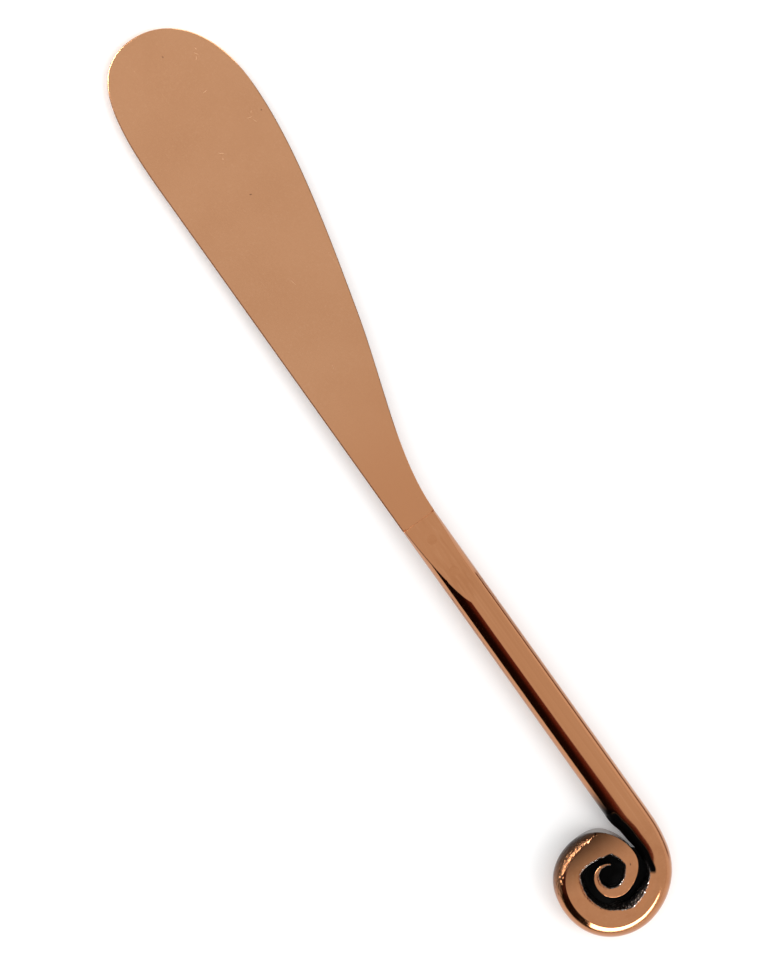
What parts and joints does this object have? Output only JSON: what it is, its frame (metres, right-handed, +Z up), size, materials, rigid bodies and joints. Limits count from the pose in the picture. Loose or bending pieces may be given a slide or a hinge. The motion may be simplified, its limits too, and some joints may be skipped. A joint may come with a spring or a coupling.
{
  "type": "flat-bladed bar spoon",
  "caption": "Slim bar utensil with a flat one-sided spreading blade, a round rod handle and a coiled scroll end, in antiqued copper finish.",
  "frame": {"origin": "middle of the utensil's footprint on the surface it lies on", "axes": "+X along the rod from the blade to the scroll, +Y towards the blade's belly, +Z up out of the upper face"},
  "size_m": [0.16, 0.0358, 0.006],
  "materials": {
    "blade_copper": "copper-plated steel plate, evenly satin",
    "rod_copper": "copper-plated drawn steel, polished along its length",
    "pin_copper": "copper-alloy pin, ground flush",
    "braze": "braze, polished with the parts beside it",
    "dowel_steel": "plain turned steel",
    "cast_copper": "cast copper alloy, faces ground and polished, groove walls left grainy",
    "black_enamel": "black antiquing enamel, matt to satin"
  },
  "bodies": {
    "root": {"blade": "blade_copper", "tang_pin_front": "pin_copper", "tang_pin_rear": "pin_copper", "tang_braze": "braze", "handle_rod": "rod_copper", "joint_braze": "braze", "joint_dowel": "dowel_steel", "scroll": "cast_copper", "groove_enamel_top": "black_enamel", "groove_enamel_under": "black_enamel"}
  },
  "joints": []
}
